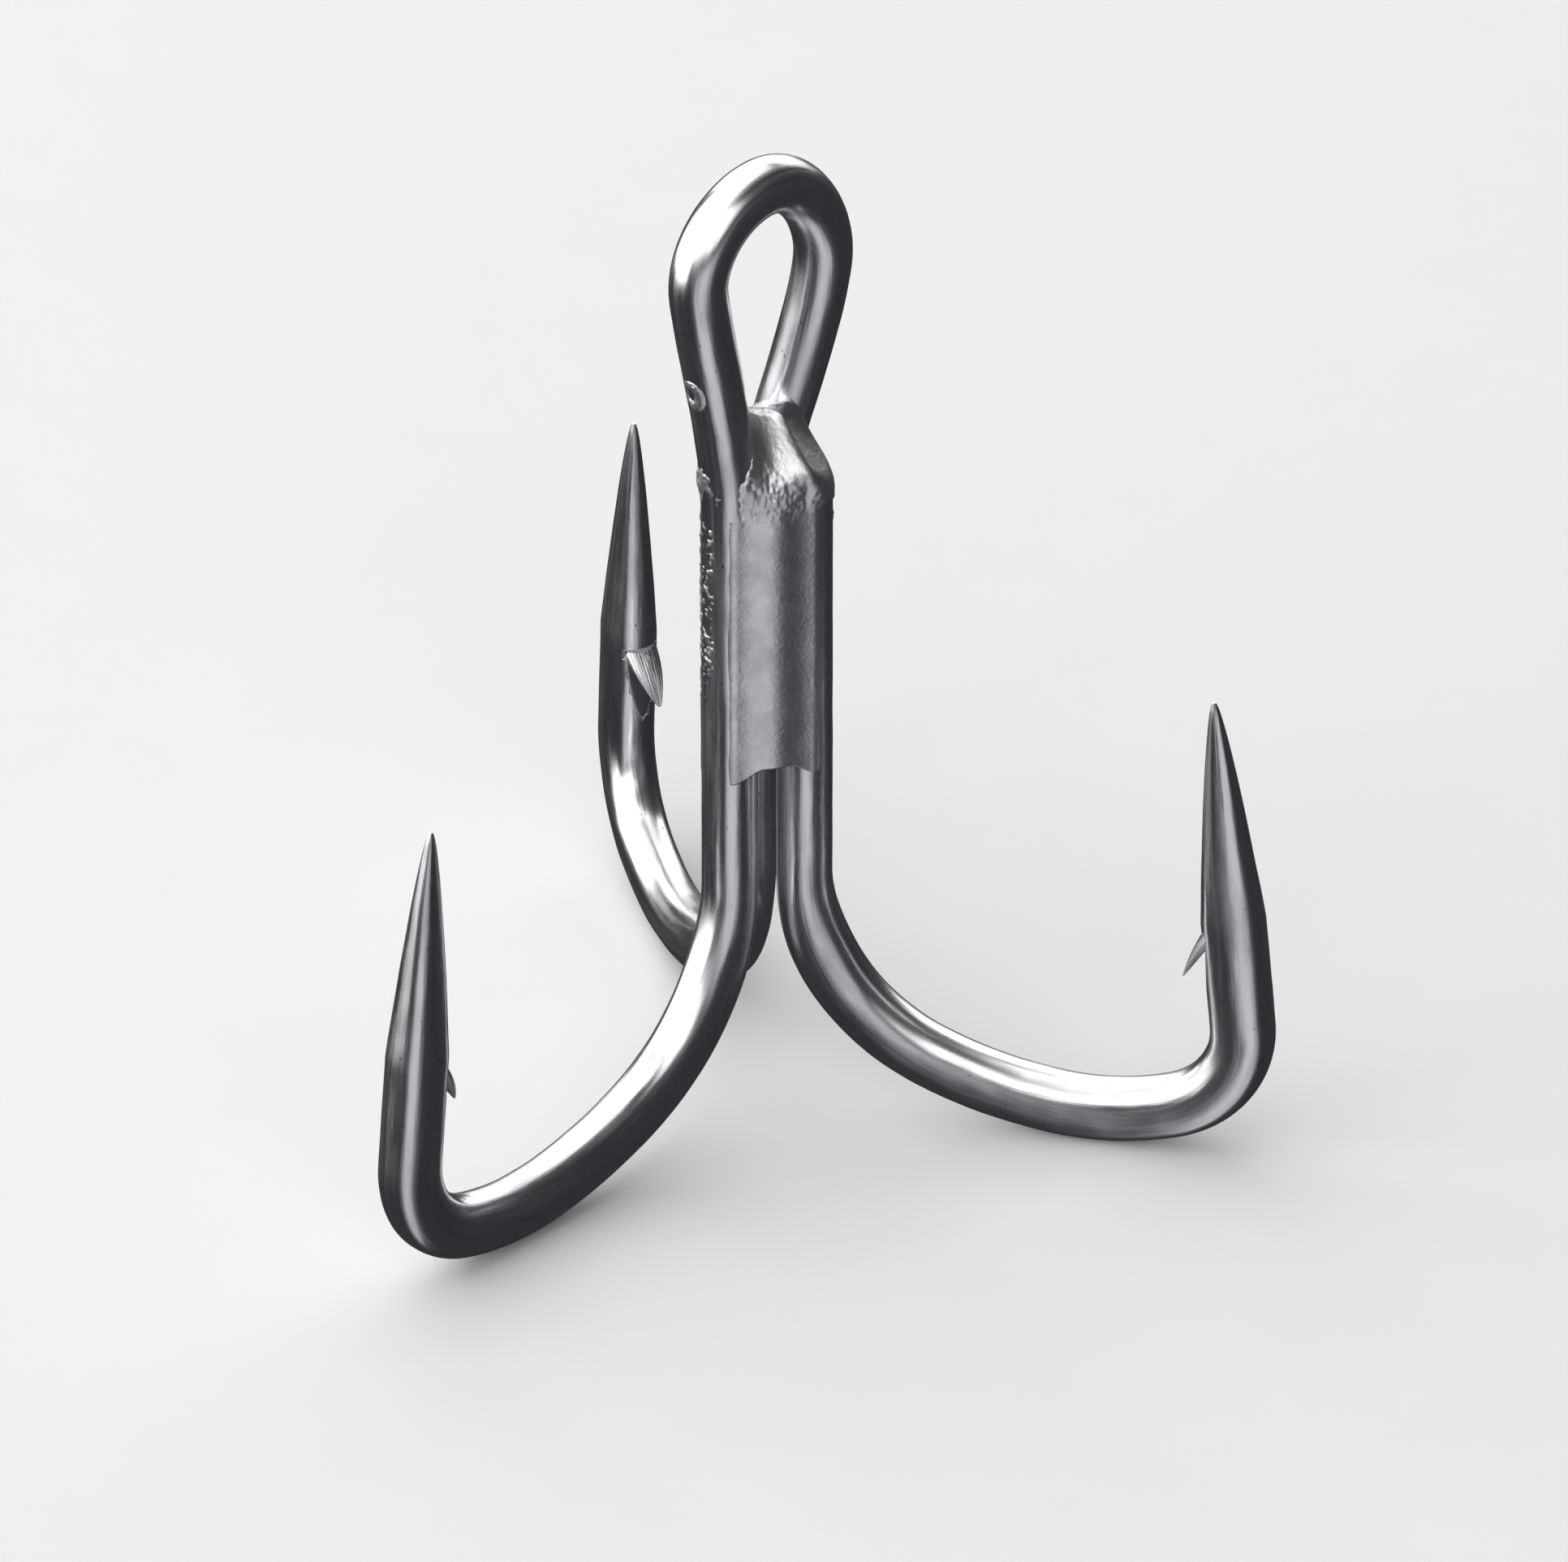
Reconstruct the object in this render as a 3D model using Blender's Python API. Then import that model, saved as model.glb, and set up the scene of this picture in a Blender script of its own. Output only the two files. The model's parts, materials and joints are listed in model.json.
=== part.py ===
"""Treble hook: a double hook bent from one wire, a single hook and the braze that joins them.

Metres, +Z up. The origin is the middle of the line eye, on the shank axis. Angles are
degrees about +Z, measured from +X, where the single hook points.
"""

import math

import bmesh
import bpy
from mathutils import Matrix, Vector

MM = 0.001

# Wire sections, mm.
WIRE_DIAMETER = 1.85
EYE_SWELL = 0.09
BEND_DEPTH = 2.15
BEND_WIDTH = 1.8
TIP_DIAMETER = 0.12

# Shanks and hooks, mm and degrees. Heights are taken up from the lowest wire centre, and
# the inner radius is from the axis to the near side of each shank.
SHANK_INNER_RADIUS = 0.515
SINGLE_HOOK_ANGLE = 0.0
SECOND_HOOK_ANGLE = 117.0
FIRST_HOOK_ANGLE = 235.5
BEND_ARCS = ((7.6, 65.0), (14.3, 17.0), (8.9, 25.0), (3.3, 77.9))
SPEAR_LENGTH = 12.4
TAPER_LENGTH = 8.3
TAPER_POWER = 0.71
FORGED_ALONG = 3.5

# Barb, mm and degrees.
BARB_FROM_TIP = 8.6
BARB_LENGTH = 2.25
BARB_ANGLE = 38.0
BARB_WIDTH = 1.05
BARB_THICKNESS = 0.5
BARB_TIP_SHARE = 0.1
BARB_ROOT_SINK = 0.42
SECOND_BARB_TURN = 13.0

# Line eye, mm and degrees. Each limb leaves its shank below the eye's middle and is
# widest near it. A handle is how far a bend is pulled along its end's own direction.
EYE_ANGLE = 50.0
EYE_HEIGHT = 31.0
EYE_INNER_HALF_WIDTH = 1.675
EYE_TOP_RISE = 3.1
EYE_LEAN = 0.1
FIRST_LIMB_START = -8.5
FIRST_LIMB_WIDEST = 0.3
SECOND_LIMB_START = -11.2
SECOND_LIMB_WIDEST = -0.2
FIRST_LIMB_HANDLES = (3.1, 1.3)
SECOND_LIMB_HANDLES = (1.7, 2.4)
CROWN_HANDLES = (1.44, 1.4)

# Single hook's cut end and braze, mm and degrees. The cut's highest point is what stands
# below the eye's middle.
CUT_BELOW_EYE = 6.016
CUT_SLOPE = 52.0
BRAZE_BOTTOM = 12.5
BRAZE_ABOVE_CUT = 1.7
BRAZE_WRAP = 64.0
BRAZE_RAISE = 0.05
BRAZE_SWELL = 0.1
BRAZE_COVER = 0.7
BRAZE_COVER_RAISE = 0.12
BRAZE_CLEARANCE = 0.04
BRAZE_CORE = 0.5
BRAZE_STEP = 0.02
CROWN_FROM = 0.18
CROWN_CLOSES = 0.78
CROWN_SPREAD = 62.0

# Mesh steps.
RING_POINTS = 20
BRAZE_POINTS = 72
ARC_STEP = 7.0
COVER_STEPS = 10
SPEAR_STEPS = 12
EYE_STEPS = 12

UP = Vector((0.0, 0.0, 1.0))
SHANK_OFFSET = SHANK_INNER_RADIUS + WIRE_DIAMETER / 2.0
EYE_HALF_WIDTH = EYE_INNER_HALF_WIDTH + WIRE_DIAMETER / 2.0
CUT_RISE = math.tan(math.radians(CUT_SLOPE))
SINGLE_SHANK_TOP = EYE_HEIGHT - CUT_BELOW_EYE - CUT_RISE * WIRE_DIAMETER / 2.0
HOOK_ANGLES = (SINGLE_HOOK_ANGLE, SECOND_HOOK_ANGLE, FIRST_HOOK_ANGLE)


def direction(angle):
    """Horizontal unit vector at an angle in degrees."""
    return Vector((math.cos(math.radians(angle)), math.sin(math.radians(angle)), 0.0))


def clear_scene():
    for obj in list(bpy.data.objects):
        bpy.data.objects.remove(obj, do_unlink=True)


def make_material(name, color, roughness, metallic):
    material = bpy.data.materials.new(name)
    material.use_nodes = True
    shader = material.node_tree.nodes["Principled BSDF"]
    shader.inputs["Base Color"].default_value = (*color, 1.0)
    shader.inputs["Roughness"].default_value = roughness
    shader.inputs["Metallic"].default_value = metallic
    return material


def make_object(name, bm, material=None):
    """Turn a bmesh in millimetres into a smooth-shaded object in metres."""
    bmesh.ops.recalc_face_normals(bm, faces=bm.faces)
    bmesh.ops.scale(bm, vec=(MM, MM, MM), verts=bm.verts)
    mesh = bpy.data.meshes.new(name)
    bm.to_mesh(mesh)
    bm.free()
    mesh.shade_smooth()
    mesh.set_sharp_from_angle(angle=math.radians(35.0))
    obj = bpy.data.objects.new(name, mesh)
    bpy.context.collection.objects.link(obj)
    if material is None:
        obj.hide_render = True
        obj.display_type = "WIRE"
    else:
        mesh.materials.append(material)
    return obj


def add_boolean(target, tool, operation):
    modifier = target.modifiers.new(tool.name, "BOOLEAN")
    modifier.operation = operation
    modifier.solver = "EXACT"
    modifier.object = tool


# Centrelines


def hook_profile():
    """Centreline of one hook as (radius, height) points and the way left to the tip.

    It runs down the shank, round the bend and up the spear, and its lowest point is at
    height 0.
    """
    radius, height, heading = SHANK_OFFSET, 0.0, -90.0
    points = [(radius, height)]
    for bend_radius, sweep in BEND_ARCS:
        steps = math.ceil(sweep / ARC_STEP)
        centre = direction(heading + 90.0) * bend_radius + Vector((radius, height, 0.0))
        for step in range(1, steps + 1):
            spoke = direction(heading - 90.0 + sweep * step / steps) * bend_radius
            points.append((centre.x + spoke.x, centre.y + spoke.y))
        radius, height = points[-1]
        heading += sweep
    spear = direction(heading) * SPEAR_LENGTH
    for step in range(1, SPEAR_STEPS + 1):
        share = step / SPEAR_STEPS
        points.append((radius + spear.x * share, height + spear.y * share))
    lowest = min(point[1] for point in points)
    return [(point[0], point[1] - lowest) for point in points]


def hook_path(angle):
    """Centreline of one hook in space, from the top of its bend to its tip."""
    return [direction(angle) * radius + UP * height for radius, height in hook_profile()]


def bezier(start, start_handle, end_handle, end):
    """Points along one cubic segment, without its first."""
    points = []
    for step in range(1, EYE_STEPS + 1):
        t = step / EYE_STEPS
        s = 1.0 - t
        near = start * s**3 + start_handle * (3.0 * s * s * t)
        points.append(near + end_handle * (3.0 * s * t * t) + end * t**3)
    return points


def limb_path(start, widest, crown, side, handles):
    """One limb of the eye, from the top of a straight shank to the eye's crown."""
    along = direction(EYE_ANGLE) * side
    points = [start]
    points += bezier(start, start + UP * handles[0], widest - UP * handles[1], widest)
    rise = widest + UP * CROWN_HANDLES[0]
    points += bezier(widest, rise, crown + along * CROWN_HANDLES[1], crown)
    return points


def eye_path():
    """Centreline of the eye, from the first hook's shank over the crown to the second's."""
    along = direction(EYE_ANGLE)
    middle = UP * EYE_HEIGHT
    crown = middle + along * EYE_LEAN + UP * EYE_TOP_RISE
    first = direction(FIRST_HOOK_ANGLE) * SHANK_OFFSET + middle + UP * FIRST_LIMB_START
    first_widest = middle - along * EYE_HALF_WIDTH + UP * FIRST_LIMB_WIDEST
    second = direction(SECOND_HOOK_ANGLE) * SHANK_OFFSET + middle + UP * SECOND_LIMB_START
    second_widest = middle + along * EYE_HALF_WIDTH + UP * SECOND_LIMB_WIDEST
    rising = limb_path(first, first_widest, crown, -1.0, FIRST_LIMB_HANDLES)
    falling = limb_path(second, second_widest, crown, 1.0, SECOND_LIMB_HANDLES)
    return rising + falling[-2::-1]


# Wire sections


def distances(path):
    """Distance along a path to each of its points."""
    total = [0.0]
    for before, after in zip(path, path[1:]):
        total.append(total[-1] + (after - before).length)
    return total


def smooth_step(value):
    value = min(max(value, 0.0), 1.0)
    return value * value * (3.0 - 2.0 * value)


def hook_sections(path):
    """(half depth, half width) of the wire at each point of a hook's path."""
    along = distances(path)
    sections = []
    for distance in along:
        forged = smooth_step(distance / FORGED_ALONG)
        depth = WIRE_DIAMETER + (BEND_DEPTH - WIRE_DIAMETER) * forged
        width = WIRE_DIAMETER + (BEND_WIDTH - WIRE_DIAMETER) * forged
        left = max(along[-1] - distance, 0.0)
        share = min(left / TAPER_LENGTH, 1.0) ** TAPER_POWER
        depth = TIP_DIAMETER + (depth - TIP_DIAMETER) * share
        width = TIP_DIAMETER + (width - TIP_DIAMETER) * share
        sections.append((depth / 2.0, width / 2.0))
    return sections


def tangents(path):
    """Unit direction of a path at each of its points."""
    steps = [(after - before).normalized() for before, after in zip(path, path[1:])]
    middle = [(before + after).normalized() for before, after in zip(steps, steps[1:])]
    return [steps[0], *middle, steps[-1]]


def carried_normals(path, normal):
    """The normal carried along a path without twisting about it."""
    headings = tangents(path)
    normals = [normal]
    for before, after in zip(headings, headings[1:]):
        normals.append(before.rotation_difference(after) @ normals[-1])
    return normals


def sweep(bm, path, normals, sections):
    """Sweep an elliptical section along a path, close both ends, and return the first ring."""
    placements = []
    for point, heading, normal, section in zip(path, tangents(path), normals, sections):
        side = heading.cross(normal).normalized()
        depth = side.cross(heading).normalized() * section[0]
        frame = Matrix((side * section[1], depth, heading)).transposed().to_4x4()
        placements.append(Matrix.Translation(point) @ frame)
    first = bmesh.ops.create_circle(
        bm, segments=RING_POINTS, radius=1.0, matrix=placements[0]
    )["verts"]
    ring = list({edge for vert in first for edge in vert.link_edges})
    bmesh.ops.edgeloop_fill(bm, edges=ring)
    for before, after in zip(placements, placements[1:]):
        made = bmesh.ops.extrude_edge_only(bm, edges=ring)["geom"]
        verts = [item for item in made if isinstance(item, bmesh.types.BMVert)]
        ring = [item for item in made if isinstance(item, bmesh.types.BMEdge)]
        bmesh.ops.transform(bm, matrix=after @ before.inverted(), verts=verts)
    bmesh.ops.edgeloop_fill(bm, edges=ring)
    return first


def double_wire(growth=0.0):
    """The wire of the first hook, the eye and the second hook, made thicker by growth."""
    first = hook_path(FIRST_HOOK_ANGLE)
    second = hook_path(SECOND_HOOK_ANGLE)
    eye = eye_path()
    path = first[::-1] + eye + second
    round_half = WIRE_DIAMETER / 2.0
    sections = hook_sections(first)[::-1]
    for index in range(len(eye)):
        swell = smooth_step(min(index, len(eye) - 1 - index) / EYE_STEPS)
        half = round_half + EYE_SWELL / 2.0 * swell
        sections.append((half, half))
    sections += hook_sections(second)
    sections = [(depth + growth, width + growth) for depth, width in sections]
    plane_normal = UP.cross(direction(FIRST_HOOK_ANGLE))
    normals = carried_normals(path, plane_normal.cross(tangents(path)[0]))
    second_side = UP.cross(direction(SECOND_HOOK_ANGLE))
    wanted = second_side.cross(tangents(path)[-1])
    if wanted.dot(normals[-1]) < 0.0:
        wanted = -wanted
    cross = normals[-1].cross(wanted).dot(tangents(path)[-1])
    twist = math.atan2(cross, normals[-1].dot(wanted))
    for index, heading in enumerate(tangents(path)):
        share = smooth_step((index - len(first)) / len(eye))
        normals[index] = Matrix.Rotation(twist * share, 3, heading) @ normals[index]
    bm = bmesh.new()
    sweep(bm, path, normals, sections)
    return bm


def single_wire(growth=0.0):
    """The single hook's wire up to its sloping cut end, made thicker by growth."""
    hook = hook_path(SINGLE_HOOK_ANGLE)
    outward = direction(SINGLE_HOOK_ANGLE)
    above_cut = growth / math.cos(math.radians(CUT_SLOPE))
    top = outward * SHANK_OFFSET + UP * (SINGLE_SHANK_TOP + above_cut)
    path = [top, *hook]
    round_half = WIRE_DIAMETER / 2.0
    sections = [(round_half, round_half), *hook_sections(hook)]
    sections = [(depth + growth, width + growth) for depth, width in sections]
    side = UP.cross(outward)
    normals = carried_normals(path, side.cross(tangents(path)[0]))
    bm = bmesh.new()
    end = sweep(bm, path, normals, sections)
    for vert in end:
        vert.co.z -= CUT_RISE * (vert.co - top).dot(outward)
    return bm


def barb(angle, turn=0.0):
    """A barb's pointed blade on the inner side of a hook's spear, its root in the wire.

    It is turned about the spear by some degrees, as it was cut.
    """
    path = hook_path(angle)
    spear = (path[-1] - path[-2]).normalized()
    side = Matrix.Rotation(math.radians(turn), 3, spear) @ UP.cross(direction(angle))
    inward = spear.cross(side).normalized()
    sections = hook_sections(path)
    along = distances(path)
    at_root = along[-1] - BARB_FROM_TIP
    nearest = min(range(len(path)), key=lambda index: abs(along[index] - at_root))
    surface = sections[nearest][0] - BARB_ROOT_SINK
    root = path[-1] - spear * BARB_FROM_TIP + inward * surface
    turn = math.radians(BARB_ANGLE)
    point_way = inward * math.sin(turn) - spear * math.cos(turn)
    thickness_way = point_way.cross(side).normalized()
    frame = Matrix((side, thickness_way, point_way)).transposed().to_4x4()
    blade = Matrix.Translation(root + point_way * (BARB_LENGTH / 2.0)) @ frame
    blade @= Matrix.Diagonal((BARB_WIDTH, BARB_THICKNESS, 1.0, 1.0))
    quarter_turned = Matrix.Rotation(math.radians(45.0), 4, "Z")
    corner = math.sqrt(0.5)
    bm = bmesh.new()
    bmesh.ops.create_cone(
        bm,
        cap_ends=True,
        segments=4,
        radius1=corner,
        radius2=corner * BARB_TIP_SHARE,
        depth=BARB_LENGTH,
        matrix=blade @ quarter_turned,
    )
    return bm


# Braze


def angle_between(first, second):
    """Signed angle in degrees from second to first, within half a turn."""
    return (first - second + 180.0) % 360.0 - 180.0


def braze_radius(angle):
    """Distance from the axis to the braze's face, before the wires are taken out."""
    offsets = sorted(angle_between(angle, hook) for hook in HOOK_ANGLES)
    before = max((offset for offset in offsets if offset < 0.0), default=offsets[0])
    after = min(offset for offset in offsets if offset >= 0.0)
    half_gap = (after - before) / 2.0
    from_valley = (after + before) / 2.0
    flat = SHANK_OFFSET * math.cos(math.radians(half_gap)) + WIRE_DIAMETER / 2.0
    face = (flat + BRAZE_RAISE) / math.cos(math.radians(from_valley))
    swell = BRAZE_SWELL * math.cos(math.radians(90.0 * from_valley / half_gap)) ** 2
    edge = direction(BRAZE_WRAP) * (WIRE_DIAMETER / 2.0 + BRAZE_RAISE)
    edge.x += SHANK_OFFSET
    return min(face + swell, edge.length)


def braze_cover_radius(angle, height):
    """The braze's face round and over the single hook's cut end."""
    base = braze_radius(angle)
    toward = math.cos(math.radians(angle_between(angle, SINGLE_HOOK_ANGLE)))
    if toward <= 0.0:
        return base
    across = SHANK_OFFSET * math.sqrt(1.0 - toward * toward)
    end_radius = WIRE_DIAMETER / 2.0 + BRAZE_COVER_RAISE
    if across < end_radius:
        rim = SHANK_OFFSET * toward + math.sqrt(end_radius**2 - across**2)
        base = max(base, rim)
    cut_way_out = (SINGLE_SHANK_TOP + BRAZE_COVER - height) / CUT_RISE
    return min(base, max(SHANK_OFFSET + cut_way_out, BRAZE_CORE) / toward)


def crown_share(angle, share):
    """How much of the section is left some way up the cover: all of it over the cut end."""
    closing = max(share - CROWN_FROM, 0.0) / (1.0 - CROWN_FROM)
    away = smooth_step(abs(angle_between(angle, SINGLE_HOOK_ANGLE)) / CROWN_SPREAD)
    return 1.0 - CROWN_CLOSES * away * closing


def braze_levels():
    """(height, share of the way up the cover or None below it) up the braze."""
    shoulder = SINGLE_SHANK_TOP - CUT_RISE * WIRE_DIAMETER / 2.0
    levels = [(BRAZE_BOTTOM, None), (shoulder - BRAZE_STEP, None)]
    for step in range(COVER_STEPS + 1):
        share = step / COVER_STEPS
        height = shoulder + (SINGLE_SHANK_TOP + BRAZE_ABOVE_CUT - shoulder) * share
        levels.append((height, share))
    return levels


def around(vert):
    """Angle of a vertex about the axis, from 0 to a full turn."""
    return math.atan2(vert.co.y, vert.co.x) % math.tau


def place_ring(verts, level):
    """Move a ring of vertices onto one level of the braze."""
    height, share = level
    for index, vert in enumerate(sorted(verts, key=around)):
        angle = 360.0 * index / BRAZE_POINTS
        if share is None:
            radius = braze_radius(angle)
        else:
            radius = braze_cover_radius(angle, height) * crown_share(angle, share)
        vert.co = direction(angle) * radius + UP * height


def braze_block():
    """The braze as a solid bar, before the wires are taken out."""
    first, *others = braze_levels()
    bm = bmesh.new()
    verts = bmesh.ops.create_circle(bm, segments=BRAZE_POINTS, radius=1.0)["verts"]
    ring = list({edge for vert in verts for edge in vert.link_edges})
    place_ring(verts, first)
    bmesh.ops.edgeloop_fill(bm, edges=ring)
    for level in others:
        made = bmesh.ops.extrude_edge_only(bm, edges=ring)["geom"]
        ring = [item for item in made if isinstance(item, bmesh.types.BMEdge)]
        place_ring([item for item in made if isinstance(item, bmesh.types.BMVert)], level)
    bmesh.ops.edgeloop_fill(bm, edges=ring)
    return bm


def main():
    clear_scene()
    plated = make_material("plated_wire", (0.80, 0.81, 0.83), 0.18, 1.0)
    braze = make_material("braze_metal", (0.62, 0.63, 0.65), 0.42, 1.0)
    double = make_object("double_hook_wire", double_wire(), plated)
    add_boolean(double, make_object("first_barb", barb(FIRST_HOOK_ANGLE)), "UNION")
    second_barb = make_object("second_barb", barb(SECOND_HOOK_ANGLE, SECOND_BARB_TURN))
    add_boolean(double, second_barb, "UNION")
    single = make_object("single_hook_wire", single_wire(), plated)
    add_boolean(single, make_object("single_barb", barb(SINGLE_HOOK_ANGLE)), "UNION")
    joint = make_object("braze_joint", braze_block(), braze)
    add_boolean(joint, make_object("double_wire_room", double_wire(BRAZE_CLEARANCE)), "DIFFERENCE")
    add_boolean(joint, make_object("single_wire_room", single_wire(BRAZE_CLEARANCE)), "DIFFERENCE")
    for obj in bpy.data.objects:
        obj.data.transform(Matrix.Translation(UP * (-EYE_HEIGHT * MM)))


main()
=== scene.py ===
"""Treble hook: a double hook bent from one wire, a single hook, and the braze between them.

Everything is in metres with +Z up, and the origin is the middle of the line eye. The
sizes below are in millimetres and degrees, as a hook maker would give them. Angles about
the shank axis start at +X, where the single hook points, and heights are taken up from
the lowest wire centre, under the bends.
"""

from __future__ import annotations

import enum
import json
import logging
import math
from dataclasses import dataclass, field
from typing import Iterable, Sequence

import bmesh
import bpy
from mathutils import Matrix, Vector, kdtree, noise

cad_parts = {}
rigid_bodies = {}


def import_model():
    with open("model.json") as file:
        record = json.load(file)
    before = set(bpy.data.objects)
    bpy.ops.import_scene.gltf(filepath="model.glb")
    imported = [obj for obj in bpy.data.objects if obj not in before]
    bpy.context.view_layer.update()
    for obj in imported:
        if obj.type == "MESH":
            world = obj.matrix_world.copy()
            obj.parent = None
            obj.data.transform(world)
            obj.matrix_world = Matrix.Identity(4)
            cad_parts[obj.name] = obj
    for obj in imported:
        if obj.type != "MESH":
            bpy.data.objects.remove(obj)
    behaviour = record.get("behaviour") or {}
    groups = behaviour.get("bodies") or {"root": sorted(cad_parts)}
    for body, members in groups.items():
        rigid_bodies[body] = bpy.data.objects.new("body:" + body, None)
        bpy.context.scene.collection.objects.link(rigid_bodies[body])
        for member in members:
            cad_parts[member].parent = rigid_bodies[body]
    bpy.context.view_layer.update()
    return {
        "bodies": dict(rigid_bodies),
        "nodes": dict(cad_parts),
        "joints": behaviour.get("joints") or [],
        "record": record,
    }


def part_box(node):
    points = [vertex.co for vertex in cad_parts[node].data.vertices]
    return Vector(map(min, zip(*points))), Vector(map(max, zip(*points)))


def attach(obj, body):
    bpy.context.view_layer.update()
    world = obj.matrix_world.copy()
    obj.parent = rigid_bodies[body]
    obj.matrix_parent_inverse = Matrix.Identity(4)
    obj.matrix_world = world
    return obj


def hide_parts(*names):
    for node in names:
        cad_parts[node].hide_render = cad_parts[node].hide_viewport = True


LOG = logging.getLogger("treble_hook")

MM = 0.001
UP = Vector((0.0, 0.0, 1.0))
STRAIGHT = "straight"
GRAIN = "grain"
EYE_HEIGHT = 31.0


class Hook(enum.Enum):
    """The three hooks, each with the angle that it points in."""

    SINGLE = 0.0
    SECOND = 117.0
    FIRST = 235.5


class Slot(enum.Enum):
    """The finishes that the record names."""

    WIRE = "plated_wire"
    BRAZE = "braze_metal"


@dataclass(frozen=True)
class Section:
    """The wire's section at one place.

    Attributes:
        depth: Half its size in the plane of the hook, in millimetres.
        width: Half its size across that plane, in millimetres.
        square: Power of its outline, 2 for an ellipse and more for flatter sides.
    """

    depth: float
    width: float
    square: float = 2.0

    def outline(self, way: Vector) -> Vector:
        """A point of the outline.

        Args:
            way: Unit vector from the wire's centre, in its section's plane.

        Returns:
            The point in the section's plane, in millimetres.
        """
        total = abs(way.x) ** self.square + abs(way.y) ** self.square
        reach = total ** (-1.0 / self.square)
        return Vector((way.x * reach * self.width, way.y * reach * self.depth, 0.0))


def direction(angle: float) -> Vector:
    """Horizontal unit vector at an angle in degrees."""
    return Vector((math.cos(math.radians(angle)), math.sin(math.radians(angle)), 0.0))


def smooth_step(value: float) -> float:
    """Ease from 0 to 1 as the value goes from 0 to 1."""
    value = min(max(value, 0.0), 1.0)
    return value * value * (3.0 - 2.0 * value)


def mix(start: float, end: float, share: float) -> float:
    """The value a share of the way from start to end."""
    return start + (end - start) * share


def soft_least(first: float, second: float, spread: float) -> float:
    """The lesser of two values, rounded off where they are nearly the same."""
    share = max(spread - abs(first - second), 0.0) / spread
    return min(first, second) - share * share * spread / 4.0


def distances(path: Sequence[Vector]) -> list[float]:
    """Distance along a path to each of its points."""
    total = [0.0]
    for before, after in zip(path, path[1:]):
        total.append(total[-1] + (after - before).length)
    return total


def spaced(path: Sequence[Vector], spacing: float) -> list[Vector]:
    """Points at even distances along a path, with its two ends.

    Args:
        path: Points of the path.
        spacing: About how far apart the new points are.

    Returns:
        The new points.
    """
    along = distances(path)
    count = max(2, round(along[-1] / spacing))
    points = []
    index = 0
    for step in range(count + 1):
        wanted = along[-1] * step / count
        while index < len(path) - 2 and along[index + 1] < wanted:
            index += 1
        length = along[index + 1] - along[index]
        points.append(path[index].lerp(path[index + 1], (wanted - along[index]) / length))
    return points


def tangents(path: Sequence[Vector]) -> list[Vector]:
    """Unit direction of a path at each of its points."""
    steps = [(after - before).normalized() for before, after in zip(path, path[1:])]
    middle = [(before + after).normalized() for before, after in zip(steps, steps[1:])]
    return [steps[0], *middle, steps[-1]]


def carried_normals(path: Sequence[Vector], normal: Vector) -> list[Vector]:
    """The normal carried along a path without twisting about it.

    Args:
        path: Points of the path.
        normal: The normal at its first point.

    Returns:
        The normal at each point.
    """
    headings = tangents(path)
    normals = [normal]
    for before, after in zip(headings, headings[1:]):
        normals.append(before.rotation_difference(after) @ normals[-1])
    return normals


def bezier(ends: tuple[Vector, Vector], handles: tuple[Vector, Vector]) -> list[Vector]:
    """Points along one cubic segment, without its first.

    Args:
        ends: The segment's two ends.
        handles: The points that each end is pulled towards.

    Returns:
        The points.
    """
    steps = 60
    points = []
    for step in range(1, steps + 1):
        t = step / steps
        s = 1.0 - t
        near = ends[0] * s**3 + handles[0] * (3.0 * s * s * t)
        points.append(near + handles[1] * (3.0 * s * t * t) + ends[1] * t**3)
    return points


def new_verts(made: Iterable[object]) -> list[bmesh.types.BMVert]:
    """The vertices among what an operator made."""
    return [item for item in made if isinstance(item, bmesh.types.BMVert)]


def new_edges(made: Iterable[object]) -> list[bmesh.types.BMEdge]:
    """The edges among what an operator made."""
    return [item for item in made if isinstance(item, bmesh.types.BMEdge)]


def object_from(name: str, bm: bmesh.types.BMesh, sharp: float = 40.0) -> bpy.types.Object:
    """Turn a bmesh in millimetres, at hook heights, into an object in its final place.

    Args:
        name: The object's name.
        bm: The bmesh, which is freed.
        sharp: Angle in degrees past which an edge is left sharp.

    Returns:
        The new object, at the origin.
    """
    bmesh.ops.recalc_face_normals(bm, faces=bm.faces)
    bmesh.ops.translate(bm, vec=-UP * EYE_HEIGHT, verts=bm.verts)
    bmesh.ops.scale(bm, vec=(MM, MM, MM), verts=bm.verts)
    mesh = bpy.data.meshes.new(name)
    bm.to_mesh(mesh)
    bm.free()
    mesh.shade_smooth()
    mesh.set_sharp_from_angle(angle=math.radians(sharp))
    obj = bpy.data.objects.new(name, mesh)
    bpy.context.collection.objects.link(obj)
    return obj


def mark_own_place(bm: bmesh.types.BMesh) -> None:
    """Give a cut or added shape its own place as its place along the wire.

    The place is drawn together, so that the finish is broader and plainer on it.
    """
    layer = bm.verts.layers.float_vector.new(STRAIGHT)
    for vert in bm.verts:
        vert[layer] = vert.co * (0.3 * MM)


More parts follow.
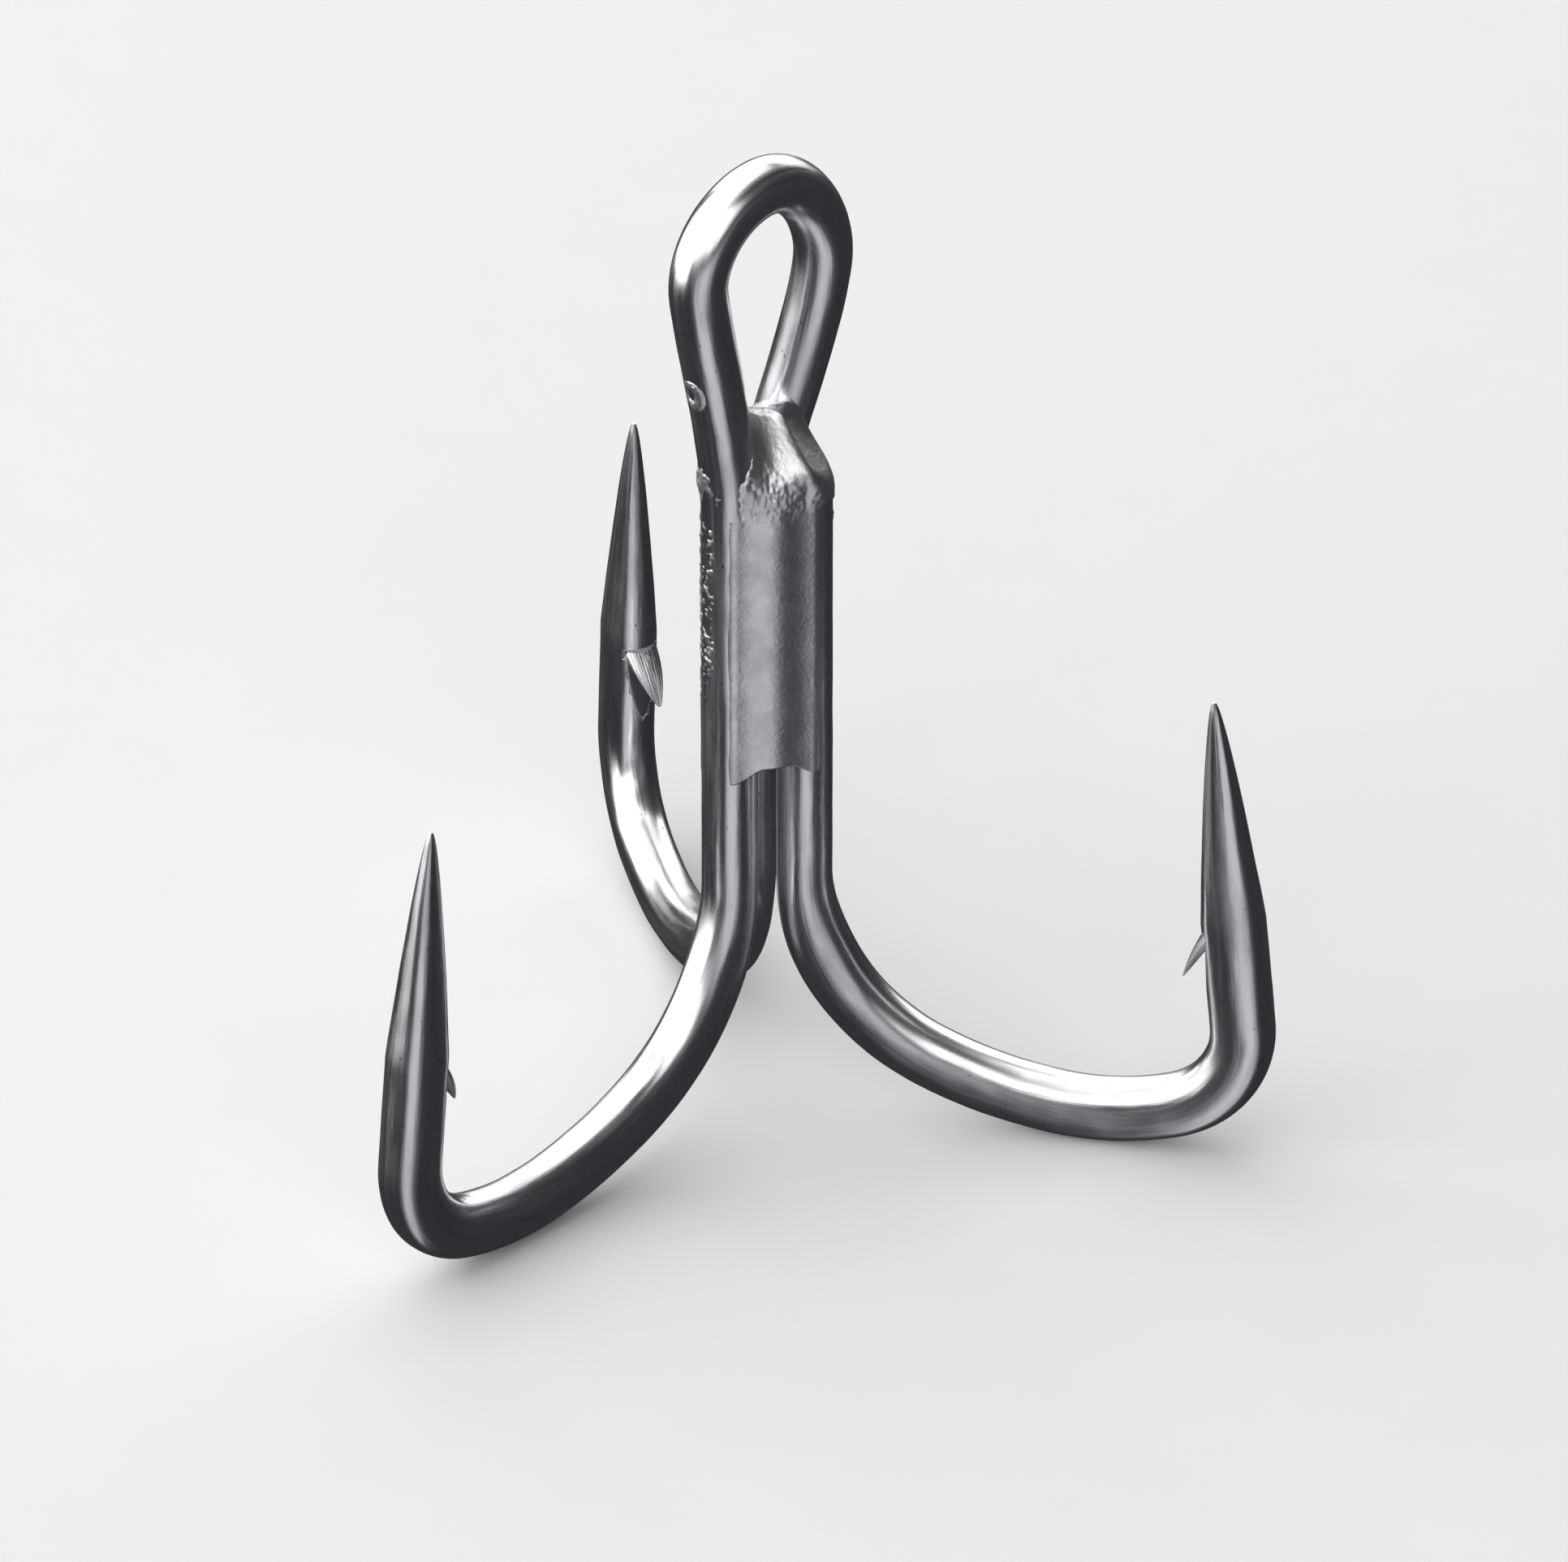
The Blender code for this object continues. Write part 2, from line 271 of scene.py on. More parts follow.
def combined(target: bpy.types.Object, tools: Sequence[tuple[bpy.types.Object, str]]) -> None:
    """Cut or join tools into an object and drop the tools.

    Args:
        target: The object that is changed.
        tools: Each tool with its Boolean operation, in order.
    """
    for tool, operation in tools:
        modifier = target.modifiers.new(tool.name, "BOOLEAN")
        modifier.operation = operation
        modifier.solver = "EXACT"
        modifier.object = tool
    graph = bpy.context.evaluated_depsgraph_get()
    made = bpy.data.meshes.new_from_object(target.evaluated_get(graph))
    old = target.data
    target.modifiers.clear()
    target.data = made
    made.name = target.name
    bpy.data.meshes.remove(old)
    for tool, _ in tools:
        mesh = tool.data
        bpy.data.objects.remove(tool, do_unlink=True)
        bpy.data.meshes.remove(mesh)
    made.set_sharp_from_angle(angle=math.radians(40.0))


class Nodes:
    """A short way to add and link the nodes of one material."""

    def __init__(self, name: str) -> None:
        """Start a material.

        Args:
            name: The material's name.
        """
        self.material = bpy.data.materials.new(name)
        self.material.use_nodes = True
        self.tree = self.material.node_tree
        self.shader = self.tree.nodes["Principled BSDF"]

    def add(self, kind: str, **settings: object) -> bpy.types.Node:
        """Add a node.

        Args:
            kind: The node's type.
            **settings: Its properties.

        Returns:
            The node.
        """
        node = self.tree.nodes.new(kind)
        for name, value in settings.items():
            setattr(node, name, value)
        return node

    def link(self, source: bpy.types.NodeSocket, target: bpy.types.NodeSocket) -> None:
        """Join two sockets."""
        self.tree.links.new(source, target)

    def place(self, attribute: str | None, stretch: tuple[float, float, float]) -> bpy.types.NodeSocket:
        """Coordinates for a pattern.

        Args:
            attribute: The vector attribute to read, or None for Object coordinates.
            stretch: Scale along each of its axes.

        Returns:
            The socket that holds them.
        """
        mapping = self.add("ShaderNodeMapping")
        mapping.inputs["Scale"].default_value = stretch
        if attribute is None:
            source = self.add("ShaderNodeTexCoord").outputs["Object"]
        else:
            source = self.add("ShaderNodeAttribute", attribute_name=attribute).outputs["Vector"]
        self.link(source, mapping.inputs["Vector"])
        return mapping.outputs["Vector"]

    def noise(
        self, where: bpy.types.NodeSocket, scale: float, detail: float, roughness: float = 0.5
    ) -> bpy.types.NodeSocket:
        """A noise pattern.

        Args:
            where: The coordinates it is read at.
            scale: How many of its features fit in a metre.
            detail: How many finer layers it has.
            roughness: How strong the finer layers are.

        Returns:
            The socket that holds it, from 0 to 1.
        """
        node = self.add("ShaderNodeTexNoise")
        node.inputs["Scale"].default_value = scale
        node.inputs["Detail"].default_value = detail
        node.inputs["Roughness"].default_value = roughness
        self.link(where, node.inputs["Vector"])
        return node.outputs["Fac"]

    def ranged(
        self,
        value: bpy.types.NodeSocket,
        source: tuple[float, float],
        target: tuple[float, float],
    ) -> bpy.types.NodeSocket:
        """A value moved from one range to another, and held inside it.

        Args:
            value: The value.
            source: The range that is read.
            target: The range that it becomes.

        Returns:
            The socket that holds the result.
        """
        node = self.add("ShaderNodeMapRange")
        for name, number in zip(("From Min", "From Max", "To Min", "To Max"), (*source, *target)):
            node.inputs[name].default_value = number
        self.link(value, node.inputs["Value"])
        return node.outputs["Result"]

    def maths(
        self, operation: str, first: bpy.types.NodeSocket, second: bpy.types.NodeSocket | float
    ) -> bpy.types.NodeSocket:
        """Work out one value from two.

        Args:
            operation: The sum to do.
            first: The first value.
            second: The second value.

        Returns:
            The socket that holds the result.
        """
        node = self.add("ShaderNodeMath", operation=operation)
        self.link(first, node.inputs[0])
        if isinstance(second, float):
            node.inputs[1].default_value = second
        else:
            self.link(second, node.inputs[1])
        return node.outputs[0]

    def blend(
        self,
        share: bpy.types.NodeSocket,
        first: tuple[float, float, float],
        second: tuple[float, float, float],
    ) -> bpy.types.NodeSocket:
        """A colour between two.

        Args:
            share: How much of the second colour there is.
            first: The first colour.
            second: The second colour.

        Returns:
            The socket that holds the colour.
        """
        node = self.add("ShaderNodeMix", data_type="RGBA")
        self.link(share, node.inputs["Factor"])
        colors = [item for item in node.inputs if item.type == "RGBA"]
        colors[0].default_value = (*first, 1.0)
        colors[1].default_value = (*second, 1.0)
        return next(item for item in node.outputs if item.type == "RGBA")

    def bump(
        self,
        height: bpy.types.NodeSocket,
        distance: float,
        strength: float,
        under: bpy.types.NodeSocket | None = None,
    ) -> bpy.types.NodeSocket:
        """Relief on the surface.

        Args:
            height: The relief's height, from 0 to 1.
            distance: How high 1 stands, in metres.
            strength: How much of it shows.
            under: Other relief that it lies on.

        Returns:
            The socket that holds the normal.
        """
        node = self.add("ShaderNodeBump")
        node.inputs["Distance"].default_value = distance
        node.inputs["Strength"].default_value = strength
        self.link(height, node.inputs["Height"])
        if under is not None:
            self.link(under, node.inputs["Normal"])
        return node.outputs["Normal"]


@dataclass(frozen=True)
class PlatedWireFinish:
    """Bright tin plate on drawn steel wire, with die lines, faint haze and small specks."""

    bright: tuple[float, float, float] = (0.86, 0.865, 0.88)
    hazed: tuple[float, float, float] = (0.56, 0.57, 0.59)
    speck: tuple[float, float, float] = (0.22, 0.22, 0.23)
    smooth: float = 0.2
    rough: float = 0.36
    line_height: float = 0.000012
    ripple_height: float = 0.00004

    def build(self) -> bpy.types.Material:
        """Make the material."""
        nodes = Nodes("plated_wire")
        lines = nodes.noise(nodes.place(STRAIGHT, (1.0, 1.0, 0.05)), 4200.0, 3.0)
        ripple = nodes.noise(nodes.place(STRAIGHT, (1.0, 1.0, 0.3)), 900.0, 2.0)
        haze = nodes.noise(nodes.place(STRAIGHT, (1.0, 1.0, 0.16)), 1100.0, 4.0, 0.6)
        specks = nodes.noise(nodes.place(STRAIGHT, (1.0, 1.0, 0.6)), 5200.0, 2.0, 0.6)
        hazed = nodes.ranged(haze, (0.48, 0.74), (0.0, 1.0))
        color = nodes.blend(hazed, self.bright, self.hazed)
        dark = nodes.ranged(specks, (0.70, 0.78), (0.0, 1.0))
        mixer = nodes.add("ShaderNodeMix", data_type="RGBA")
        nodes.link(dark, mixer.inputs["Factor"])
        colors = [item for item in mixer.inputs if item.type == "RGBA"]
        nodes.link(color, colors[0])
        colors[1].default_value = (*self.speck, 1.0)
        result = next(item for item in mixer.outputs if item.type == "RGBA")
        nodes.link(result, nodes.shader.inputs["Base Color"])
        worn = nodes.maths("MULTIPLY", nodes.maths("ADD", haze, lines), 0.5)
        roughness = nodes.ranged(worn, (0.38, 0.64), (self.smooth, self.rough))
        nodes.link(roughness, nodes.shader.inputs["Roughness"])
        nodes.shader.inputs["Metallic"].default_value = 1.0
        relief = nodes.bump(ripple, self.ripple_height, 1.0)
        relief = nodes.bump(lines, self.line_height, 1.0, relief)
        nodes.link(relief, nodes.shader.inputs["Normal"])
        return nodes.material


@dataclass(frozen=True)
class BrazeFinish:
    """Satin silver braze, grainy where it set at the top and where it ran round the wire."""

    satin: tuple[float, float, float] = (0.88, 0.885, 0.90)
    dull: tuple[float, float, float] = (0.72, 0.725, 0.74)
    smooth: float = 0.33
    rough: float = 0.43
    grainy: float = 0.06
    grain_height: float = 0.000014

    def build(self) -> bpy.types.Material:
        """Make the material."""
        nodes = Nodes("braze_metal")
        place = nodes.place(None, (1.0, 1.0, 1.0))
        cloud = nodes.noise(place, 1100.0, 4.0, 0.6)
        grain = nodes.noise(place, 6000.0, 3.0, 0.6)
        color = nodes.blend(nodes.ranged(cloud, (0.35, 0.7), (0.0, 1.0)), self.satin, self.dull)
        nodes.link(color, nodes.shader.inputs["Base Color"])
        grains = nodes.add("ShaderNodeAttribute", attribute_name=GRAIN).outputs["Fac"]
        roughness = nodes.ranged(cloud, (0.3, 0.7), (self.smooth, self.rough))
        rougher = nodes.maths("ADD", roughness, nodes.maths("MULTIPLY", grains, self.grainy))
        nodes.link(rougher, nodes.shader.inputs["Roughness"])
        nodes.shader.inputs["Metallic"].default_value = 1.0
        nodes.link(nodes.bump(grain, self.grain_height, 1.0), nodes.shader.inputs["Normal"])
        return nodes.material


@dataclass(frozen=True)
class FloorFinish:
    """Pale matt board that the hook stands on."""

    pale: tuple[float, float, float] = (0.70, 0.70, 0.705)
    paler: tuple[float, float, float] = (0.715, 0.715, 0.72)

    def build(self) -> bpy.types.Material:
        """Make the material."""
        nodes = Nodes("pale_floor")
        mottle = nodes.noise(nodes.place(None, (1.0, 1.0, 1.0)), 300.0, 3.0)
        nodes.link(nodes.blend(mottle, self.pale, self.paler), nodes.shader.inputs["Base Color"])
        nodes.shader.inputs["Roughness"].default_value = 0.9
        nodes.shader.inputs["Specular IOR Level"].default_value = 0.1
        return nodes.material


@dataclass
class WireStock:
    """The drawn wire and how it is forged and ground.

    Attributes:
        diameter: Of the round wire.
        eye_swell: How much thicker the wire is round the eye.
        bend_depth: Of the forged bend, in the plane of the hook.
        bend_width: Of the forged bend, across that plane.
        tip_diameter: Of the needle point's end.
        forged_along: How far down the shank's end the forging begins.
        forged_square: Power of the forged section's outline.
        taper_length: How long the ground point is.
        taper_power: How full the point is, 1 for a plain cone.
        ring_points: Points round the wire.
        spacing: Distance between the mesh's rings.
        waver: How far the drawn surface wanders.
    """

    diameter: float = 1.85
    eye_swell: float = 0.09
    bend_depth: float = 2.15
    bend_width: float = 1.8
    tip_diameter: float = 0.12
    forged_along: float = 3.5
    forged_square: float = 2.35
    taper_length: float = 8.3
    taper_power: float = 0.71
    ring_points: int = 44
    spacing: float = 0.22
    waver: float = 0.012

    @property
    def radius(self) -> float:
        """Half the round wire's diameter."""
        return self.diameter / 2.0

    def hook_section(self, along: float, left: float) -> Section:
        """The section at one place on a hook.

        Args:
            along: Distance from the top of the bend.
            left: Distance to the tip.

        Returns:
            The section there.
        """
        forged = smooth_step(along / self.forged_along)
        share = min(max(left, 0.0) / self.taper_length, 1.0) ** self.taper_power
        depth = mix(self.tip_diameter, mix(self.diameter, self.bend_depth, forged), share)
        width = mix(self.tip_diameter, mix(self.diameter, self.bend_width, forged), share)
        return Section(depth / 2.0, width / 2.0, mix(2.0, self.forged_square, forged))

    def sweep(
        self,
        path: Sequence[Vector],
        normals: Sequence[Vector],
        sections: Sequence[Section],
    ) -> tuple[bmesh.types.BMesh, list[bmesh.types.BMVert]]:
        """Sweep the wire along a path, closed at both ends.

        Each vertex keeps its place on the wire as if it were straightened out, for the
        finish to follow.

        Args:
            path: Centreline.
            normals: The way of the section's depth at each of its points.
            sections: The section at each of its points.

        Returns:
            The bmesh and its first ring.
        """
        bm = bmesh.new()
        layer = bm.verts.layers.float_vector.new(STRAIGHT)
        frames = []
        for point, heading, normal in zip(path, tangents(path), normals):
            side = heading.cross(normal).normalized()
            depth = side.cross(heading).normalized()
            turn = Matrix((side, depth, heading)).transposed().to_4x4()
            frames.append(Matrix.Translation(point) @ turn)
        along = distances(path)
        first = bmesh.ops.create_circle(bm, segments=self.ring_points, radius=1.0)["verts"]
        ring = list({edge for vert in first for edge in vert.link_edges})
        verts = list(first)
        bmesh.ops.edgeloop_fill(bm, edges=ring)
        for vert in verts:
            vert[layer] = vert.co
        for index, (frame, section) in enumerate(zip(frames, sections)):
            if index:
                made = bmesh.ops.extrude_edge_only(bm, edges=ring)["geom"]
                verts, ring = new_verts(made), new_edges(made)
            for vert in verts:
                way = Vector((*vert[layer].xy, 0.0)).normalized()
                straight = Vector((way.x * self.radius, way.y * self.radius, along[index]))
                vert[layer] = straight * MM
                rise = self.waver * noise.noise(straight * 0.8)
                vert.co = frame @ (section.outline(way) * (1.0 + rise))
        bmesh.ops.edgeloop_fill(bm, edges=ring)
        return bm, first


@dataclass
class HookForm:
    """The bend and spear that all three hooks share.

    Attributes:
        inner_radius: From the axis to the near side of each shank.
        arcs: Radius and turn of each arc of the bend, from the shank on.
        spear_length: Of the straight spear, to its tip.
        stock: The wire that they are made of.
    """

    stock: WireStock
    inner_radius: float = 0.515
    arcs: tuple[tuple[float, float], ...] = ((7.6, 65.0), (14.3, 17.0), (8.9, 25.0), (3.3, 77.9))
    spear_length: float = 12.4

    @property
    def shank_offset(self) -> float:
        """From the axis to each shank's centre."""
        return self.inner_radius + self.stock.radius

    def profile(self) -> list[tuple[float, float]]:
        """The hook's centreline.

        Returns:
            Its points as a radius and a height, from the bend's top to the tip, with the
            lowest at height 0.
        """
        place = Vector((self.shank_offset, 0.0, 0.0))
        heading = -90.0
        points = [place.copy()]
        for bend_radius, turn in self.arcs:
            steps = math.ceil(turn)
            centre = direction(heading + 90.0) * bend_radius + place
            for step in range(1, steps + 1):
                spoke = direction(heading - 90.0 + turn * step / steps) * bend_radius
                points.append(centre + spoke)
            place = points[-1]
            heading += turn
        points.append(place + direction(heading) * self.spear_length)
        lowest = min(point.y for point in points)
        return [(point.x, point.y - lowest) for point in points]

    def path(self, hook: Hook) -> list[Vector]:
        """Centreline of one hook in space, from the top of its bend to its tip."""
        way = direction(hook.value)
        points = [way * radius + UP * height for radius, height in self.profile()]
        return spaced(points, self.stock.spacing)

    def sections(self, path: Sequence[Vector]) -> list[Section]:
        """The section at each point of a hook's path."""
        along = distances(path)
        return [self.stock.hook_section(at, along[-1] - at) for at in along]


@dataclass
class Barb:
    """The sliver cut and raised on the inner side of each spear, and the cut under it.

    Attributes:
        form: The hook that it is cut on.
        from_tip: Distance of its root from the hook's tip.
        length: Of the raised sliver.
        angle: Between the sliver and the spear.
        width: Of the sliver at its root.
        thickness: Of the sliver at its root.
        tip_share: Size of the sliver's tip against its root.
        sink: How far its root is under the wire's surface.
        cut_length: How far the cut under it runs.
        cut_depth: How deep the cut is at the root.
        curl: How far the sliver's tip curls away from the spear.
        fullness: Power of the sliver's taper, 1 for a plain one and more for a leaf.
        turned: How far the cut is turned about each spear.
        raised: The angle of those slivers that stand off more than the rest.
    """

    form: HookForm
    from_tip: float = 8.6
    length: float = 2.25
    angle: float = 38.0
    width: float = 1.15
    thickness: float = 0.56
    tip_share: float = 0.12
    sink: float = 0.42
    cut_length: float = 3.0
    cut_depth: float = 0.2
    curl: float = 0.26
    fullness: float = 2.2
    turned: dict[Hook, float] = field(default_factory=lambda: {Hook.SECOND: 13.0})
    raised: dict[Hook, float] = field(default_factory=lambda: {Hook.SECOND: 50.0})

    def angle_of(self, hook: Hook) -> float:
        """Angle between one hook's sliver and its spear."""
        return self.raised.get(hook, self.angle)

    def frame(self, hook: Hook) -> tuple[Matrix, float]:
        """Where a barb grows.

        Args:
            hook: The hook that it is on.

        Returns:
            The frame at the wire's centre beside the root, with X across the blade, Y up
            the spear and Z inwards, and the wire's half depth there.
        """
        path = self.form.path(hook)
        spear = (path[-1] - path[-2]).normalized()
        turn = Matrix.Rotation(math.radians(self.turned.get(hook, 0.0)), 3, spear)
        side = turn @ UP.cross(direction(hook.value))
        inward = spear.cross(side).normalized()
        place = path[-1] - spear * self.from_tip
        section = self.form.stock.hook_section(self.form.stock.forged_along, self.from_tip)
        axes = Matrix((side, spear, inward)).transposed().to_4x4()
        return Matrix.Translation(place) @ axes, section.depth

    def cutter(self, hook: Hook) -> bpy.types.Object:
        """The wedge of wire that is gone from under a barb.

        Args:
            hook: The hook that it is on.

        Returns:
            The tool to cut with.
        """
        frame, surface = self.frame(hook)
        bm = bmesh.new()
        bmesh.ops.create_cube(bm, size=2.0)
        lean = direction(180.0 - self.angle_of(hook))
        for vert in bm.verts:
            across = vert.co.x * self.form.stock.diameter
            above = vert.co.z > 0.0
            if vert.co.y > 0.0:
                reach = 1.6 if above else 0.0
                vert.co = Vector((across, lean.x * reach, surface - self.cut_depth + lean.y * reach))
            else:
                rise = 1.0 if above else 0.02
                vert.co = Vector((across, -self.cut_length, surface + rise))
        bmesh.ops.transform(bm, matrix=frame, verts=bm.verts)
        mark_own_place(bm)
        return object_from(f"{hook.name.lower()}_barb_cut", bm)

    def blade(self, hook: Hook) -> bpy.types.Object:
        """The raised sliver.

        Args:
            hook: The hook that it is on.

        Returns:
            The shape to join on.
        """
        frame, surface = self.frame(hook)
        bm = bmesh.new()
        bmesh.ops.create_cone(
            bm, cap_ends=True, segments=28, radius1=0.5, radius2=0.5, depth=1.0
        )
        rings = [edge for edge in bm.edges if abs(edge.verts[0].co.z - edge.verts[1].co.z) > 0.5]
        bmesh.ops.subdivide_edges(bm, edges=rings, cuts=16, use_grid_fill=True)
        for vert in bm.verts:
            share = vert.co.z + 0.5
            full = mix(1.0, self.tip_share, share**self.fullness)
            flat = self.thickness * full * (0.55 if vert.co.y > 0.0 else 1.0)
            lift = self.curl * share * share
            across = vert.co.x * self.width * full
            vert.co = Vector((across, vert.co.y * flat - lift, share * self.length))
        tilt = Matrix.Rotation(math.radians(90.0 - self.angle_of(hook)), 4, "X")
        root = Matrix.Translation((0.0, 0.0, surface - self.sink))
        bmesh.ops.transform(bm, matrix=frame @ root @ tilt, verts=bm.verts)
        mark_own_place(bm)
        return object_from(f"{hook.name.lower()}_barb", bm)

    def raise_on(self, wire: bpy.types.Object, hooks: Sequence[Hook]) -> None:
        """Cut and raise the barbs of some hooks.

        Args:
            wire: The wire that the hooks are bent from.
            hooks: The hooks.
        """
        cuts = [(self.cutter(hook), "DIFFERENCE") for hook in hooks]
        blades = [(self.blade(hook), "UNION") for hook in hooks]
        combined(wire, cuts + blades)


@dataclass
class DoubleHookWire:
    """The first hook, the line eye and the second hook, all one wire.

    Attributes:
        form: The hooks' shape.
        barb: The barbs.
        angle: That the eye's plane lies at.
        inner_half_width: Of the eye's hole.
        top_rise: Of the crown's centreline over the eye's middle.
        lean: Of the crown towards the second hook's limb.
        starts: How far over the eye's middle each limb leaves its shank.
        widest: How far over the eye's middle each limb is widest.
        handles: How far each limb's bends are pulled along their ends.
        crown_handles: The same for the crown.
    """

    form: HookForm
    barb: Barb
    angle: float = 50.0
    inner_half_width: float = 1.675
    top_rise: float = 3.1
    lean: float = 0.1
    starts: tuple[float, float] = (-8.5, -11.2)
    widest: tuple[float, float] = (0.3, -0.2)
    handles: tuple[tuple[float, float], ...] = ((3.1, 1.3), (1.7, 2.4))
    crown_handles: tuple[float, float] = (1.44, 1.4)

    def limb(self, hook: Hook) -> list[Vector]:
        """One limb of the eye.

        Args:
            hook: The hook that it rises from.

        Returns:
            Its centreline, from the top of the straight shank to the crown.
        """
        index = 0 if hook is Hook.FIRST else 1
        side = direction(self.angle) * (-1.0 if hook is Hook.FIRST else 1.0)
        middle = UP * EYE_HEIGHT
        start = direction(hook.value) * self.form.shank_offset + middle + UP * self.starts[index]
        half_width = self.inner_half_width + self.form.stock.radius
        wide = middle + side * half_width + UP * self.widest[index]
        crown = middle + direction(self.angle) * self.lean + UP * self.top_rise
        low, high = self.handles[index]
        points = [start]
        points += bezier((start, wide), (start + UP * low, wide - UP * high))
        pulled = (wide + UP * self.crown_handles[0], crown + side * self.crown_handles[1])
        return points + bezier((wide, crown), pulled)

    def build(self, finish: bpy.types.Material) -> bpy.types.Object:
        """Make the wire.

        Args:
            finish: Its material.

        Returns:
            The piece.
        """
        stock = self.form.stock
        first, second = self.form.path(Hook.FIRST), self.form.path(Hook.SECOND)
        rising, falling = self.limb(Hook.FIRST), self.limb(Hook.SECOND)
        shanks = [first[0], *rising, *falling[-2::-1], second[0]]
        middle = spaced(shanks, stock.spacing)[1:-1]
        start, end = rising[0].z, falling[0].z
        sections = self.form.sections(first)[::-1]
        total = distances(shanks)[-1]
        for index, point in enumerate(middle):
            at = total * (index + 1) / (len(middle) + 1)
            low = start if at < total / 2.0 else end
            half = stock.radius + stock.eye_swell / 2.0 * smooth_step((point.z - low) / 7.0)
            sections.append(Section(half, half))
        sections += self.form.sections(second)
        path = first[::-1] + middle + second
        headings = tangents(path)
        across = UP.cross(direction(Hook.FIRST.value))
        normals = carried_normals(path, across.cross(headings[0]))
        wanted = UP.cross(direction(Hook.SECOND.value)).cross(headings[-1])
        if wanted.dot(normals[-1]) < 0.0:
            wanted = -wanted
        cross = normals[-1].cross(wanted).dot(headings[-1])
        twist = math.atan2(cross, normals[-1].dot(wanted))
        for index, heading in enumerate(headings):
            share = smooth_step((index - len(first)) / len(middle))
            normals[index] = Matrix.Rotation(twist * share, 3, heading) @ normals[index]
        bm, _ = stock.sweep(path, normals, sections)
        wire = object_from("double_hook_plated", bm)
        self.barb.raise_on(wire, (Hook.FIRST, Hook.SECOND))
        wire.data.materials.clear()
        wire.data.materials.append(finish)
        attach(wire, "root")
        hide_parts("double_hook_wire")
        return wire


@dataclass
class SingleHookWire:
    """The third hook, whose shank ends in a sloping cut under the eye.

    Attributes:
        form: The hook's shape.
        barb: The barb.
        cut_below_eye: Of the cut end's highest point.
        cut_slope: Of the cut end.
    """

    form: HookForm
    barb: Barb
    cut_below_eye: float = 6.016
    cut_slope: float = 52.0

    @property
    def cut_rise(self) -> float:
        """How steeply the cut end falls outwards."""
        return math.tan(math.radians(self.cut_slope))

    @property
    def shank_top(self) -> float:
        """Height of the cut end's middle."""
        return EYE_HEIGHT - self.cut_below_eye - self.cut_rise * self.form.stock.radius

    def build(self, finish: bpy.types.Material) -> bpy.types.Object:
        """Make the wire.

        Args:
            finish: Its material.

        Returns:
            The piece.
        """
        stock = self.form.stock
        hook = self.form.path(Hook.SINGLE)
        outward = direction(Hook.SINGLE.value)
        top = outward * self.form.shank_offset + UP * self.shank_top
        clear = top - UP * (self.cut_rise * stock.radius + 0.1)
        shank = [top, *spaced([clear, hook[0]], stock.spacing)[:-1]]
        path = shank + hook
        sections = [Section(stock.radius, stock.radius)] * len(shank) + self.form.sections(hook)
        normals = carried_normals(path, UP.cross(outward).cross(tangents(path)[0]))
        bm, end = stock.sweep(path, normals, sections)
        for vert in end:
            vert.co.z -= self.cut_rise * (vert.co - top).dot(outward)
        wire = object_from("single_hook_plated", bm)
        self.barb.raise_on(wire, (Hook.SINGLE,))
        wire.data.materials.clear()
        wire.data.materials.append(finish)
        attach(wire, "root")
        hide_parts("single_hook_wire")
        return wire


